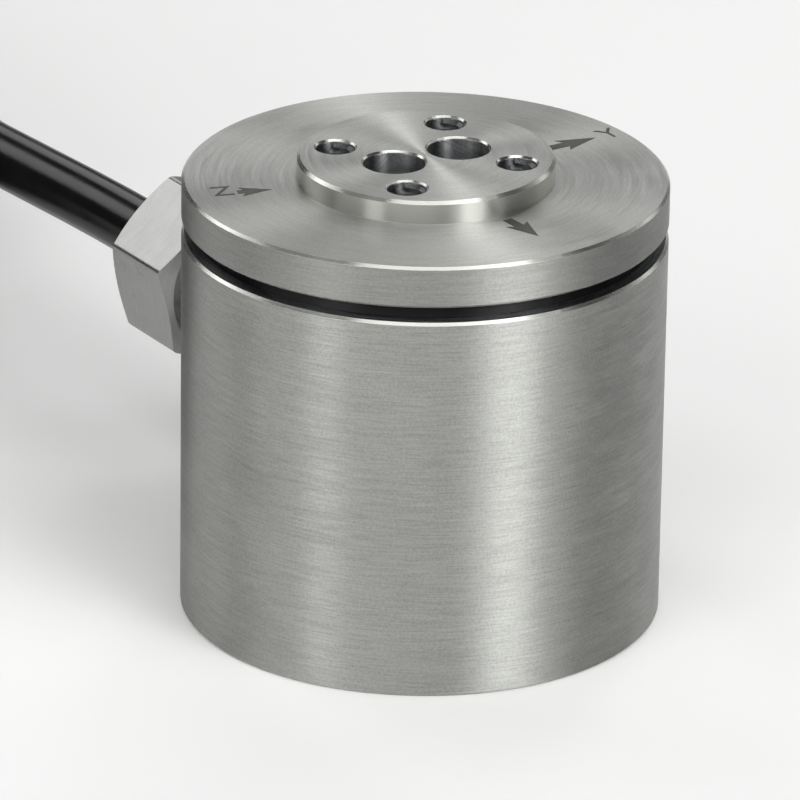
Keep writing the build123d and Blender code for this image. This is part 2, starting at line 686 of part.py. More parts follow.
keep("earth_tag", build_earth_tag())
build_cores()
keep("screen_wire", build_screen_wire())
build_gland()
free_cable, free_length = build_cable()
keep("cable", free_cable)
run_length = hank_run(free_length)
print("hank run", round(run_length, 2), "overall", round(run_length + 2 * HANK_OUTER_R, 1))
keep("cable_hank", build_hank(run_length))
keep("hank_ties", *build_hank_ties(run_length))
build_cable_end(run_length)

for name, solid in pieces.items():
    export_step(solid, os.path.join("parts", name + ".step"))
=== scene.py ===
"""Looks of the three-axis force sensor: finishes, threads, marks, free cable, studio and camera."""

import json
import math

import bmesh
import bpy
from mathutils import Matrix, Vector


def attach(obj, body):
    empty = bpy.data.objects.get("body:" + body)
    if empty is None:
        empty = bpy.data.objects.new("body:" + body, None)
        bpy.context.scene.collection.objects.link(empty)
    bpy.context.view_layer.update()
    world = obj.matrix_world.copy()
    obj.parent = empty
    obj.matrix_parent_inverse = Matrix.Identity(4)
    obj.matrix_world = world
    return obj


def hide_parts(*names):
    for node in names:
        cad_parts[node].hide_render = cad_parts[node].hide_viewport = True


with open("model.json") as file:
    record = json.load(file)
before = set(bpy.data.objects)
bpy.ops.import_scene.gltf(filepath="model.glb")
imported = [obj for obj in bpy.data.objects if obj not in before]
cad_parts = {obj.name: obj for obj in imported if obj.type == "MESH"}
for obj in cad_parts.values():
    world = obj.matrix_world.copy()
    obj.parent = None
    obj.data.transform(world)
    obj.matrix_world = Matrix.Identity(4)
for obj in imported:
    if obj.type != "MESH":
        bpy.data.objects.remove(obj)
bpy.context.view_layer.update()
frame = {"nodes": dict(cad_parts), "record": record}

MM = 0.001

# Sensor sizes, in millimetres
HOUSING_R = 25.0
HOUSING_TOP = 41.0
PLATE_UNDER = 42.6
PLATE_TOP = 47.0
BOSS_TOP = 49.4
BOSS_R = 13.25
BOSS_CHAMFER = 0.35
EDGE_CHAMFER = 0.3
HOLE_RIM = 0.3
GLAND_Z = 22.4

# How near to a face counts as on it, and as clear of it, in millimetres
ON_FACE = 0.02
OFF_FACE = 0.01

# Threads, in millimetres: radius of the plain hole or shank, radius of the ridge, pitch
M4_THREAD = (2.04, 1.62, 0.7)
GLAND_THREAD = (6.9, 7.4, 1.5)
LOAD_HOLE_R = 9.5
LOAD_HOLE_DEPTH = 5.5
BASE_HOLE_R = 20.0
BASE_HOLE_DEPTH = 8.0
THREAD_START = 0.3
GLAND_THREAD_FROM = 30.7
GLAND_THREAD_TO = 36.3
QUARTERS = (45, 135, 225, 315)

# Thread ridge, in shares of its pitch: half its width at the foot and at the crest
RIDGE_FOOT = 0.46
RIDGE_CREST = 0.07

# Turning marks on the steel, in millimetres: length along the ring and height across it
LATHE_LINES = (9.0, 0.35)
LATHE_STREAKS = (4.0, 0.14)
LATHE_HAIRLINES = (4.0, 0.09)
CLOUD_SIZE = 7.0
SPECKLE_SIZE = 0.24
LATHE_DEPTH = 0.003

# Shade of turned steel: share of each layer, and the range that goes from dark to light
LINE_SHARE = 0.12
STREAK_SHARE = 0.38
SPECKLE_SHARE = 0.38
CLOUD_SHARE = 0.12
SHADE_RANGE = (0.39, 0.61)

# Gloss of turned steel: spread across the marks, uneven wear, and what changes on places with a
# polish, dull places and dark places. Places with a polish also get a lighter colour as a painted
# highlight, and the dark places are painted shade
GLOSS_SPREAD = 0.94
WEAR = 0.05
POLISHED_ROUGHNESS = 0.26
PAINTED_HIGHLIGHT_SHADE = 2.4
DULL_ROUGHNESS = 0.16
PAINTED_SHADE_AMOUNT = 2.4

# Gauge foil's stripes in millimetres, and waves of the board's tracks
FOIL_PITCH = 0.2856
TRACK_WAVES = 90.0

# Direction marks on the disc, in millimetres and degrees from +X
MARK_T = 0.02
LETTER_SIZE = 3.6
HEAD_LENGTH = 1.5
BARB_SWEEP = 0.25
BARB_REACH = 0.25
ARROWS = {
    "x": {"angle": 2.1, "tail": 14.2, "tip": 19.6, "width": 1.1, "head": 2.2},
    "y": {"angle": 90.9, "tail": 14.8, "tip": 21.2, "width": 1.2, "head": 2.4},
    "z": {"angle": -108.4, "tail": 19.8, "tip": 16.2, "width": 0.9, "head": 1.9},
}
LETTERS = {"Y": (23.1, 91.5, 90.9), "Z": (21.3, -109.7, 71.6)}

# Free cable: route points in millimetres, from inside the gland to where the hank begins
CABLE_R = 3.4 * MM
ROUTE = [
    (-18.0, 0.0, 22.4),
    (-55.0, 0.0, 22.4),
    (-80.0, -1.2, 22.0),
    (-92.5, -1.8, 21.8),
    (-115.0, 5.2, 24.9),
]
CORE_COLOURS = {
    "red": (0.50, 0.018, 0.015), "black": (0.012, 0.012, 0.012), "green": (0.02, 0.25, 0.06),
    "white": (0.76, 0.75, 0.71), "yellow": (0.78, 0.56, 0.03), "blue": (0.02, 0.08, 0.42),
    "brown": (0.16, 0.06, 0.02), "orange": (0.76, 0.21, 0.015),
}

# Hank of put-away cable, in millimetres
NEAR_X = -128.0
FAR_X = -181.26
HANK_Y = -22.0
INNER_R = 20.4
OUTER_R = 27.2
LAYER_Z = [4.5, 11.3, 18.1, 24.9]
BEND_HALF_STEP = 15
CORNER_ANGLES = range(BEND_HALF_STEP, 180, 2 * BEND_HALF_STEP)
END_RUN = (3.0, 8.0)
END_LIFT = 0.5

# Camera, in millimetres and degrees, round a point on the sensor's axis
TARGET = (0.0, 0.0, 24.0)
CAMERA_AZIMUTH = 56.5
CAMERA_HEIGHT_ANGLE = 22.74
CAMERA_ROLL = 0.85
CAMERA_DISTANCE = 800.0
AIM_LEFT = 2.306
AIM_DOWN = 1.665
LENS_MM = 348.2

# Studio, in metres: floor, surrounding grey and soft boxes.
# A soft box has an azimuth from the camera, a height angle, a width, a height and a brightness
FLOOR_COLOUR = (0.96, 0.96, 0.955)
FLOOR_HALF_WIDTH = 6.0
ROOM_GREY = 0.07
BOX_DISTANCE = 1.6
SOFT_BOXES = {
    "front": (-37.0, 24.0, 3.3, 1.1, 1.32),
    "strip_left": (-45.0, 14.0, 0.45, 0.7, 3.2),
    "wide_right": (47.0, 30.0, 1.5, 1.4, 1.2),
    "strip_right": (42.0, 22.0, 0.6, 1.1, 5.0),
    "side_right": (136.0, 32.0, 0.5, 0.8, 1.1),
    "high_front": (12.0, 66.0, 1.7, 0.45, 3.0),
    "back_left": (-126.0, 38.0, 0.75, 0.75, 2.3),
    "back": (174.0, 36.0, 1.2, 1.1, 1.3),
    "back_strip": (162.0, 60.0, 0.25, 0.8, 2.2),
}


def start_finish(name, colour, metallic, roughness):
    """New material with its plain values set on the shader."""
    material = bpy.data.materials.new(name + "_finish")
    material.use_nodes = True
    tree = material.node_tree
    shader = tree.nodes["Principled BSDF"]
    shader.inputs["Base Color"].default_value = (*colour, 1.0)
    shader.inputs["Metallic"].default_value = metallic
    shader.inputs["Roughness"].default_value = roughness
    return material, tree, shader


def calc(tree, operation, a, b=0.0):
    """Math node on two sockets or numbers."""
    node = tree.nodes.new("ShaderNodeMath")
    node.operation = operation
    for socket, value in zip(node.inputs, (a, b)):
        if isinstance(value, (int, float)):
            socket.default_value = value
        else:
            tree.links.new(value, socket)
    return node.outputs[0]


def remap(tree, value, low, high, to_low, to_high):
    """Value carried from one range to another, and kept inside it."""
    node = tree.nodes.new("ShaderNodeMapRange")
    tree.links.new(value, node.inputs["Value"])
    for name, number in (("From Min", low), ("From Max", high), ("To Min", to_low),
                         ("To Max", to_high)):
        node.inputs[name].default_value = number
    return node.outputs["Result"]


def object_place(tree, centre=(0.0, 0.0, 0.0)):
    """Object coordinates, measured from a centre in millimetres."""
    mapping = tree.nodes.new("ShaderNodeMapping")
    mapping.inputs["Location"].default_value = [-c * MM for c in centre]
    tree.links.new(tree.nodes.new("ShaderNodeTexCoord").outputs["Object"], mapping.inputs["Vector"])
    return mapping.outputs["Vector"]


def axes(tree, place):
    """X, Y and Z of a place."""
    node = tree.nodes.new("ShaderNodeSeparateXYZ")
    tree.links.new(place, node.inputs["Vector"])
    return node.outputs["X"], node.outputs["Y"], node.outputs["Z"]


def join_axes(tree, x, y, z):
    """Place from X, Y and Z."""
    node = tree.nodes.new("ShaderNodeCombineXYZ")
    for socket, value in zip(node.inputs, (x, y, z)):
        tree.links.new(value, socket)
    return node.outputs["Vector"]


def axis_distance(tree, x, y):
    """Distance from the axis that x and y are measured from."""
    squares = calc(tree, "ADD", calc(tree, "MULTIPLY", x, x), calc(tree, "MULTIPLY", y, y))
    return calc(tree, "SQRT", squares)


def grain(tree, place, size=1000.0, detail=2.0):
    """Noise between 0 and 1, with grains of a size in millimetres. 1000 leaves a place as it is."""
    node = tree.nodes.new("ShaderNodeTexNoise")
    node.inputs["Scale"].default_value = 1.0 / (size * MM)
    node.inputs["Detail"].default_value = detail
    tree.links.new(place, node.inputs["Vector"])
    return node.outputs["Fac"]


def turning_marks(tree, long, fine, axis="Z", centre=(0.0, 0.0, 0.0)):
    """Noise in rings about an axis: long along the ring and fine across it, in millimetres."""
    x, y, z = axes(tree, object_place(tree, centre))
    if axis == "X":
        x, y, z = y, z, x
    across = calc(tree, "ADD", axis_distance(tree, x, y), z)
    slow, fast = 1 / (long * MM), 1 / (fine * MM)
    place = join_axes(tree, calc(tree, "MULTIPLY", x, slow), calc(tree, "MULTIPLY", y, slow),
                      calc(tree, "MULTIPLY", across, fast))
    return grain(tree, place)


def straight_marks(tree, long, fine):
    """Noise in straight strokes along X, long and fine in millimetres."""
    x, y, z = axes(tree, object_place(tree))
    slow, fast = 1 / (long * MM), 1 / (fine * MM)
    place = join_axes(tree, calc(tree, "MULTIPLY", x, slow), calc(tree, "MULTIPLY", y, fast),
                      calc(tree, "MULTIPLY", z, fast))
    return grain(tree, place)


def between(tree, value, low, high):
    """1 where a length lies between two lengths in millimetres, and 0 elsewhere."""
    above = calc(tree, "GREATER_THAN", value, low * MM)
    return calc(tree, "MULTIPLY", above, below(tree, value, high))


def below(tree, value, high):
    """1 where a length is less than a length in millimetres, and 0 elsewhere."""
    return calc(tree, "LESS_THAN", value, high * MM)


def colour_between(tree, shader, share, low, high):
    """Base colour that changes from low to high with share, and past them beyond 0 and 1."""
    node = tree.nodes.new("ShaderNodeMix")
    node.data_type = "RGBA"
    node.clamp_factor = False
    tree.links.new(share, node.inputs["Factor"])
    node.inputs[6].default_value = (*low, 1.0)
    node.inputs[7].default_value = (*high, 1.0)
    tree.links.new(node.outputs[2], shader.inputs["Base Color"])


def wall_normal(tree):
    """Surface normal, set straight out from the sensor's axis on its upright walls."""
    x, y, z = axes(tree, object_place(tree))
    r = axis_distance(tree, x, y)
    boss = calc(tree, "MULTIPLY", between(tree, r, BOSS_R - ON_FACE, BOSS_R + ON_FACE),
                calc(tree, "GREATER_THAN", z, (PLATE_TOP + ON_FACE) * MM))
    side = between(tree, r, HOUSING_R - ON_FACE, HOUSING_R + ON_FACE)
    wall = calc(tree, "MAXIMUM", side, boss)
    outwards = tree.nodes.new("ShaderNodeVectorMath")
    outwards.operation = "NORMALIZE"
    tree.links.new(join_axes(tree, x, y, calc(tree, "MULTIPLY", z, 0.0)), outwards.inputs[0])
    node = tree.nodes.new("ShaderNodeMix")
    node.data_type = "VECTOR"
    tree.links.new(wall, node.inputs["Factor"])
    tree.links.new(tree.nodes.new("ShaderNodeNewGeometry").outputs["Normal"], node.inputs[4])
    tree.links.new(outwards.outputs["Vector"], node.inputs[5])
    return node.outputs[1]


def raise_surface(tree, shader, height, depth, normal=None):
    """Relief of the surface, depth in millimetres."""
    node = tree.nodes.new("ShaderNodeBump")
    if normal:
        tree.links.new(normal, node.inputs["Normal"])
    node.inputs["Strength"].default_value = 1.0
    node.inputs["Distance"].default_value = depth * MM
    tree.links.new(height, node.inputs["Height"])
    tree.links.new(node.outputs["Normal"], shader.inputs["Normal"])


def ring_tangent(tree, shader, amount):
    """Gloss spread across the turning marks."""
    node = tree.nodes.new("ShaderNodeTangent")
    node.direction_type = "RADIAL"
    node.axis = "Z"
    tree.links.new(node.outputs["Tangent"], shader.inputs["Tangent"])
    shader.inputs["Anisotropic"].default_value = amount
    shader.inputs["Anisotropic Rotation"].default_value = 0.25


def turned_steel(name, colour, dark, roughness, polish_and_highlight, dull=None, painted_shade=None):
    """Steel with turning marks about the sensor's axis.

    polish_and_highlight gives 1 where the steel has a polish and a painted highlight, dull where it is
    rougher and painted_shade where it has painted shade.
    """
    material, tree, shader = start_finish(name, colour, 1.0, roughness)
    ring_tangent(tree, shader, GLOSS_SPREAD)
    lines = turning_marks(tree, *LATHE_LINES)
    streaks = turning_marks(tree, *LATHE_STREAKS)
    hairlines = turning_marks(tree, *LATHE_HAIRLINES)
    clouds = grain(tree, object_place(tree), CLOUD_SIZE, 4.0)
    speckle = grain(tree, object_place(tree), SPECKLE_SIZE, 3.0)
    bright = polish_and_highlight(tree)
    matte = calc(tree, "SUBTRACT", 1.0, bright)

    wear = calc(tree, "ADD", remap(tree, lines, 0.3, 0.7, -WEAR, WEAR),
                remap(tree, clouds, 0.3, 0.7, -WEAR, WEAR))
    base = calc(tree, "ADD", wear, roughness)
    if dull:
        base = calc(tree, "ADD", base, calc(tree, "MULTIPLY", dull(tree), DULL_ROUGHNESS))
    gloss = calc(tree, "MULTIPLY", bright, POLISHED_ROUGHNESS)
    rough = calc(tree, "ADD", calc(tree, "MULTIPLY", base, matte), gloss)
    tree.links.new(rough, shader.inputs["Roughness"])

    strokes = calc(tree, "ADD", calc(tree, "MULTIPLY", lines, LINE_SHARE),
                   calc(tree, "MULTIPLY", streaks, STREAK_SHARE))
    spots = calc(tree, "ADD", calc(tree, "MULTIPLY", speckle, SPECKLE_SHARE),
                 calc(tree, "MULTIPLY", clouds, CLOUD_SHARE))
    shade = remap(tree, calc(tree, "ADD", strokes, spots), *SHADE_RANGE, 0.0, 1.0)
    # Painted highlight: places with a polish get a colour lighter than the turned steel's own
    shade = calc(tree, "ADD", calc(tree, "MULTIPLY", shade, matte),
                 calc(tree, "MULTIPLY", bright, PAINTED_HIGHLIGHT_SHADE))
    # Painted shade: colour darkened on the housing's face in the gap and on the walls and floors of
    # the plate's holes
    if painted_shade:
        shade = calc(tree, "SUBTRACT", shade, calc(tree, "MULTIPLY", painted_shade(tree), PAINTED_SHADE_AMOUNT))
    colour_between(tree, shader, shade, dark, colour)

    height = calc(tree, "ADD", lines, calc(tree, "MULTIPLY", hairlines, 0.5))
    height = calc(tree, "MULTIPLY", height, matte)
    raise_surface(tree, shader, height, LATHE_DEPTH, wall_normal(tree))
    return material


def rim_ring(tree, r):
    """1 within the width of the chamfers on the sensor's largest edges."""
    return between(tree, r, HOUSING_R - EDGE_CHAMFER, HOUSING_R - OFF_FACE)


def housing_edge(tree):
    """1 on the chamfer round the housing's upper edge, which has a polish and a painted highlight."""
    x, y, z = axes(tree, object_place(tree))
    edge = between(tree, z, HOUSING_TOP - EDGE_CHAMFER, HOUSING_TOP - OFF_FACE)
    return calc(tree, "MULTIPLY", rim_ring(tree, axis_distance(tree, x, y)), edge)


def housing_land(tree):
    """1 on the housing's upper face inside the gap, whose colour is darkened there as painted shade.
    """
    x, y, z = axes(tree, object_place(tree))
    inside = below(tree, axis_distance(tree, x, y), HOUSING_R - EDGE_CHAMFER - OFF_FACE)
    return calc(tree, "MULTIPLY", inside,
                between(tree, z, HOUSING_TOP - ON_FACE, HOUSING_TOP + ON_FACE))


def plate_polish_and_highlight(tree):
    """1 on the boss's wall, on the plate's chamfers and on the rims of its holes, which have a polish
    and a painted highlight.
    """
    x, y, z = axes(tree, object_place(tree))
    r = axis_distance(tree, x, y)
    wall = calc(tree, "MULTIPLY", between(tree, r, BOSS_R - BOSS_CHAMFER, BOSS_R + ON_FACE),
                between(tree, z, PLATE_TOP + ON_FACE, BOSS_TOP - OFF_FACE))
    upper = between(tree, z, PLATE_TOP - EDGE_CHAMFER, PLATE_TOP - OFF_FACE)
    lower = between(tree, z, PLATE_UNDER + OFF_FACE, PLATE_UNDER + EDGE_CHAMFER)
    edges = calc(tree, "MULTIPLY", rim_ring(tree, r), calc(tree, "MAXIMUM", upper, lower))
    holes = calc(tree, "MULTIPLY", below(tree, r, BOSS_R - BOSS_CHAMFER),
                 between(tree, z, BOSS_TOP - HOLE_RIM, BOSS_TOP - OFF_FACE))
    return calc(tree, "MAXIMUM", wall, calc(tree, "MAXIMUM", edges, holes))


def plate_side(tree):
    """1 on the disc's side."""
    x, y, z = axes(tree, object_place(tree))
    return between(tree, axis_distance(tree, x, y), HOUSING_R - ON_FACE, HOUSING_R + ON_FACE)


def plate_holes(tree):
    """1 on the walls of the plate's holes and on the bottoms of its counterbores, whose colour is
    darkened as painted shade.
    """
    x, y, z = axes(tree, object_place(tree))
    inside = below(tree, axis_distance(tree, x, y), BOSS_R - 1.0)
    return calc(tree, "MULTIPLY", inside,
                between(tree, z, PLATE_UNDER + ON_FACE, BOSS_TOP - HOLE_RIM))


def milled_steel():
    """Spring element: straight milling strokes."""
    material, tree, shader = start_finish("element_steel", (0.52, 0.52, 0.51), 1.0, 0.3)
    strokes = straight_marks(tree, 5.0, 0.12)
    tree.links.new(remap(tree, strokes, 0.3, 0.7, 0.22, 0.38), shader.inputs["Roughness"])
    colour_between(tree, shader, strokes, (0.48, 0.48, 0.47), (0.58, 0.58, 0.57))
    raise_surface(tree, shader, strokes, 0.004)
    return material


def grained(name, colour, metallic, roughness, size, depth, clear=0.0, shine=0.5):
    """Finish with an even grain: size and depth of the grain in millimetres."""
    material, tree, shader = start_finish(name, colour, metallic, roughness)
    shader.inputs["Coat Weight"].default_value = clear
    shader.inputs["Specular IOR Level"].default_value = shine
    small = grain(tree, object_place(tree), size, 3.0)
    clouds = grain(tree, object_place(tree), size * 14, 2.0)
    tree.links.new(remap(tree, clouds, 0.3, 0.7, roughness * 0.85, roughness * 1.15),
                   shader.inputs["Roughness"])
    both = calc(tree, "ADD", calc(tree, "MULTIPLY", small, 0.6), calc(tree, "MULTIPLY", clouds, 0.4))
    colour_between(tree, shader, remap(tree, both, 0.35, 0.65, 0.0, 1.0),
                   [c * 0.88 for c in colour], [min(1.0, c * 1.1) for c in colour])
    raise_surface(tree, shader, small, depth)
    return material


def gauge_film():
    """Strain gauges: amber film with the foil grid's stripes along the beam."""
    material, tree, shader = start_finish("gauge_foil", (0.62, 0.36, 0.10), 0.0, 0.25)
    x, y, z = axes(tree, object_place(tree))
    across = calc(tree, "ADD", calc(tree, "MINIMUM", calc(tree, "ABSOLUTE", x),
                                    calc(tree, "ABSOLUTE", y)), z)
    waves = calc(tree, "SINE", calc(tree, "MULTIPLY", across, 2 * math.pi / (FOIL_PITCH * MM)))
    stripes = calc(tree, "GREATER_THAN", waves, 0.1)
    colour_between(tree, shader, stripes, (0.60, 0.33, 0.08), (0.45, 0.40, 0.36))
    tree.links.new(stripes, shader.inputs["Metallic"])
    raise_surface(tree, shader, stripes, 0.004)
    return material


def woven(name, low, high, pitch, depth, roughness):
    """Woven cloth or glass cloth, pitch and depth in millimetres."""
    material, tree, shader = start_finish(name, high, 0.0, roughness)
    x, y, z = axes(tree, object_place(tree))
    turn = 2 * math.pi / (pitch * MM)
    one = calc(tree, "SINE", calc(tree, "MULTIPLY", calc(tree, "ADD", x, z), turn))
    two = calc(tree, "SINE", calc(tree, "MULTIPLY", calc(tree, "ADD", y, z), turn))
    weave = remap(tree, calc(tree, "MULTIPLY", one, two), -1.0, 1.0, 0.0, 1.0)
    colour_between(tree, shader, weave, low, high)
    raise_surface(tree, shader, weave, depth)
    return material


def board_green():
    """Board laminate: green lacquer, lighter over the copper tracks."""
    material, tree, shader = start_finish("board_laminate", (0.02, 0.16, 0.06), 0.0, 0.3)
    shader.inputs["Coat Weight"].default_value = 0.5
    runs = grain(tree, object_place(tree), 3.5, 0.0)
    tracks = calc(tree, "SINE", calc(tree, "MULTIPLY", runs, TRACK_WAVES))
    tracks = remap(tree, tracks, 0.2, 0.5, 0.0, 1.0)
    colour_between(tree, shader, tracks, (0.012, 0.11, 0.04), (0.03, 0.24, 0.09))
    raise_surface(tree, shader, tracks, 0.03)
    return material


def gland_nickel():
    """Matte plated gland parts."""
    material, tree, shader = start_finish("gland_metal", (0.34, 0.34, 0.33), 1.0, 0.3)
    small = grain(tree, object_place(tree), 0.16, 3.0)
    clouds = grain(tree, object_place(tree), 2.6, 3.0)
    strokes = turning_marks(tree, 3.0, 0.25, "X", (0.0, 0.0, GLAND_Z))
    rough = remap(tree, clouds, 0.3, 0.7, 0.27, 0.33)
    tree.links.new(rough, shader.inputs["Roughness"])
    shade = calc(tree, "ADD", calc(tree, "MULTIPLY", small, 0.3), calc(tree, "MULTIPLY", strokes, 0.4))
    shade = calc(tree, "ADD", shade, calc(tree, "MULTIPLY", clouds, 0.3))
    colour_between(tree, shader, remap(tree, shade, 0.35, 0.65, 0.0, 1.0), (0.30, 0.30, 0.295),
                   (0.38, 0.38, 0.37))
    height = calc(tree, "ADD", small, calc(tree, "MULTIPLY", strokes, 0.6))
    raise_surface(tree, shader, height, 0.004)
    return material


def cable_jacket():
    """Black satin jacket with a fine drawn grain."""
    material, tree, shader = start_finish("cable_jacket", (0.003, 0.003, 0.003), 0.0, 0.2)
    shader.inputs["Specular IOR Level"].default_value = 0.3
    small = grain(tree, object_place(tree), 0.25, 3.0)
    clouds = grain(tree, object_place(tree), 6.0, 2.0)
    tree.links.new(remap(tree, clouds, 0.3, 0.7, 0.17, 0.23), shader.inputs["Roughness"])
    colour_between(tree, shader, clouds, (0.002, 0.002, 0.002), (0.004, 0.004, 0.004))
    raise_surface(tree, shader, small, 0.01)
    return material


def build_finishes():
    """Every material by its slot name."""
    body = turned_steel("body_steel", (0.465, 0.47, 0.445), (0.335, 0.34, 0.325), 0.50,
                        housing_edge, painted_shade=housing_land)
    plate = turned_steel("plate_steel", (0.47, 0.475, 0.45), (0.365, 0.37, 0.355), 0.46,
                         plate_polish_and_highlight, dull=plate_side, painted_shade=plate_holes)
    made = [
        body, plate, milled_steel(), gauge_film(), board_green(), gland_nickel(), cable_jacket(),
        grained("mark", (0.045, 0.041, 0.037), 0.3, 0.5, 0.15, 0.004),
        grained("screw_steel", (0.50, 0.50, 0.49), 1.0, 0.22, 0.2, 0.002),
        grained("dowel_steel", (0.62, 0.62, 0.62), 1.0, 0.14, 0.2, 0.001),
        grained("seal_rubber", (0.003, 0.003, 0.003), 0.0, 0.3, 0.15, 0.003, shine=0.12),
        grained("bush_rubber", (0.014, 0.014, 0.014), 0.0, 0.55, 0.2, 0.01),
        grained("washer_rubber", (0.02, 0.02, 0.02), 0.0, 0.6, 0.2, 0.01),
        grained("claw_plastic", (0.68, 0.66, 0.60), 0.0, 0.45, 0.4, 0.004),
        woven("tab_film", (0.18, 0.30, 0.14), (0.26, 0.40, 0.20), 0.3, 0.01, 0.35),
        grained("wire_enamel", (0.55, 0.22, 0.07), 1.0, 0.22, 0.4, 0.002, clear=0.6),
        grained("spacer_brass", (0.70, 0.48, 0.18), 1.0, 0.28, 0.2, 0.003),
        grained("pin_gold", (0.90, 0.64, 0.24), 1.0, 0.2, 0.2, 0.002),
        grained("chip_body", (0.014, 0.014, 0.016), 0.0, 0.35, 0.1, 0.003),
        grained("tag_tin", (0.66, 0.66, 0.65), 1.0, 0.34, 0.3, 0.004),
        grained("screen_tin", (0.64, 0.64, 0.63), 1.0, 0.3, 0.2, 0.01),
        grained("tip_tin", (0.68, 0.68, 0.67), 1.0, 0.25, 0.3, 0.02),
        grained("sleeve_black", (0.012, 0.012, 0.012), 0.0, 0.38, 0.5, 0.02),
        woven("tie_black", (0.008, 0.008, 0.008), (0.022, 0.022, 0.022), 0.7, 0.06, 0.7),
    ]
    for colour, shade in CORE_COLOURS.items():
        made.append(grained("core_" + colour, shade, 0.0, 0.3, 0.4, 0.003, clear=0.3))
    return {material.name.removesuffix("_finish"): material for material in made}


def dress_nodes(finishes):
    """Gives each CAD node the finish of its slot."""
    for part in frame["record"]["subparts"]:
        for place in frame["nodes"][part["node"]].material_slots:
            place.material = finishes[part["material_slot"]]


def finish_piece(name, shape, slot):
    """Object from a bmesh, with its normals set outwards, its slot and its body."""
    mesh = bpy.data.meshes.new(name)
    bmesh.ops.recalc_face_normals(shape, faces=shape.faces)
    shape.to_mesh(mesh)
    shape.free()
    piece = bpy.data.objects.new(name, mesh)
    bpy.context.collection.objects.link(piece)
    piece.data.materials.append(FINISHES[slot])
    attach(piece, "root")
    return piece


def wind_thread(thread, length, steps=28):
    """Helical thread ridge about Z, from height 0 upwards by length, in millimetres."""
    shape = bmesh.new()
    root_r, crest_r, pitch = thread
    turns = length / pitch - 1
    foot, crest = pitch * RIDGE_FOOT, pitch * RIDGE_CREST
    corners = [(root_r, -foot), (crest_r, -crest), (crest_r, crest), (root_r, foot)]
    profile = [shape.verts.new((r * MM, 0, (z + pitch / 2) * MM)) for r, z in corners]
    edges = [shape.edges.new((a, b)) for a, b in zip(profile, profile[1:] + profile[:1])]
    count = round(turns * steps)
    bmesh.ops.spin(shape, geom=profile + edges, cent=(0, 0, 0), axis=(0, 0, 1),
                   dvec=(0, 0, pitch / steps * MM), angle=2 * math.pi * count / steps, steps=count,
                   use_merge=False, use_normal_flip=False, use_duplicate=False)
    open_edges = [e for e in shape.edges if e.is_boundary]
    bmesh.ops.holes_fill(shape, edges=open_edges, sides=4)
    return shape


def round_axis(radius, angle, z):
    """Place at a radius and an angle about the sensor's axis, in metres."""
    a = math.radians(angle)
    return Vector((radius * math.cos(a), radius * math.sin(a), z)) * MM


def build_hole_threads():
    """Threads in the boss's four holes and in the four holes of the base."""
    for number, angle in enumerate(QUARTERS, 1):
        top = wind_thread(M4_THREAD, LOAD_HOLE_DEPTH - THREAD_START)
        move = round_axis(LOAD_HOLE_R, angle, BOSS_TOP - LOAD_HOLE_DEPTH)
        bmesh.ops.translate(top, verts=top.verts, vec=move)
        finish_piece("load_thread_" + str(number), top, "plate_steel")
        base = wind_thread(M4_THREAD, BASE_HOLE_DEPTH - THREAD_START)
        move = round_axis(BASE_HOLE_R, angle, THREAD_START)
        bmesh.ops.translate(base, verts=base.verts, vec=move)
        finish_piece("base_thread_" + str(number), base, "body_steel")


def build_gland_thread():
    """Thread that shows between the gland's body and its nut."""
    ridge = wind_thread(GLAND_THREAD, GLAND_THREAD_TO - GLAND_THREAD_FROM, 48)
    turn = Matrix.Rotation(math.radians(-90), 4, "Y")
    place = Matrix.Translation(Vector((-GLAND_THREAD_FROM, 0, GLAND_Z)) * MM)
    bmesh.ops.transform(ridge, matrix=place @ turn, verts=ridge.verts)
    finish_piece("gland_thread", ridge, "gland_metal")


def build_arrow(name, angle, tail, tip, width, head):
    """Flat arrow on the disc that points from its tail to its tip along a radius."""
    shape = bmesh.new()
    side = 1 if tip > tail else -1
    neck = tip - side * head * HEAD_LENGTH
    barb = neck - side * head * BARB_SWEEP
    reach = head / 2 + BARB_REACH
    outline = [(tail, width / 2), (tail, -width / 2), (neck, -width / 2), (barb, -reach),
               (tip, 0.0), (barb, reach), (neck, width / 2)]
    corners = [shape.verts.new((x * MM, y * MM, 0)) for x, y in outline]
    face = shape.faces.new(corners)
    raised = bmesh.ops.extrude_face_region(shape, geom=[face])["geom"]
    top = [v for v in raised if isinstance(v, bmesh.types.BMVert)]
    bmesh.ops.translate(shape, verts=top, vec=(0, 0, MARK_T * MM))
    place = Matrix.Translation((0, 0, PLATE_TOP * MM)) @ Matrix.Rotation(math.radians(angle), 4, "Z")
    bmesh.ops.transform(shape, matrix=place, verts=shape.verts)
    finish_piece("arrow_" + name, shape, "plate_steel").data.materials[0] = FINISHES["mark"]


def build_letter(letter, radius, angle, turn):
    """Letter on the disc, its centre at a radius and an angle, turned about the sensor's axis."""
    text = bpy.data.curves.new("letter", "FONT")
    text.body = letter
    text.size = LETTER_SIZE * MM
    text.extrude = MARK_T / 2 * MM
    text.align_x, text.align_y = "CENTER", "CENTER"
    shape = bmesh.new()
    flat = bpy.data.objects.new("letter", text)
    shape.from_mesh(bpy.data.meshes.new_from_object(flat))
    bpy.data.objects.remove(flat)
    bmesh.ops.remove_doubles(shape, verts=shape.verts, dist=0.001 * MM)
    place = round_axis(radius, angle, PLATE_TOP + MARK_T / 2)
    matrix = Matrix.Translation(place) @ Matrix.Rotation(math.radians(turn), 4, "Z")
    bmesh.ops.transform(shape, matrix=matrix, verts=shape.verts)
    finish_piece("letter_" + letter, shape, "plate_steel").data.materials[0] = FINISHES["mark"]


def build_marks():
    """Arrows and letters of the measuring directions, marked dark on the disc."""
    for name, sizes in ARROWS.items():
        build_arrow(name, **sizes)
    for letter, (radius, angle, turn) in LETTERS.items():
        build_letter(letter, radius, angle, turn)


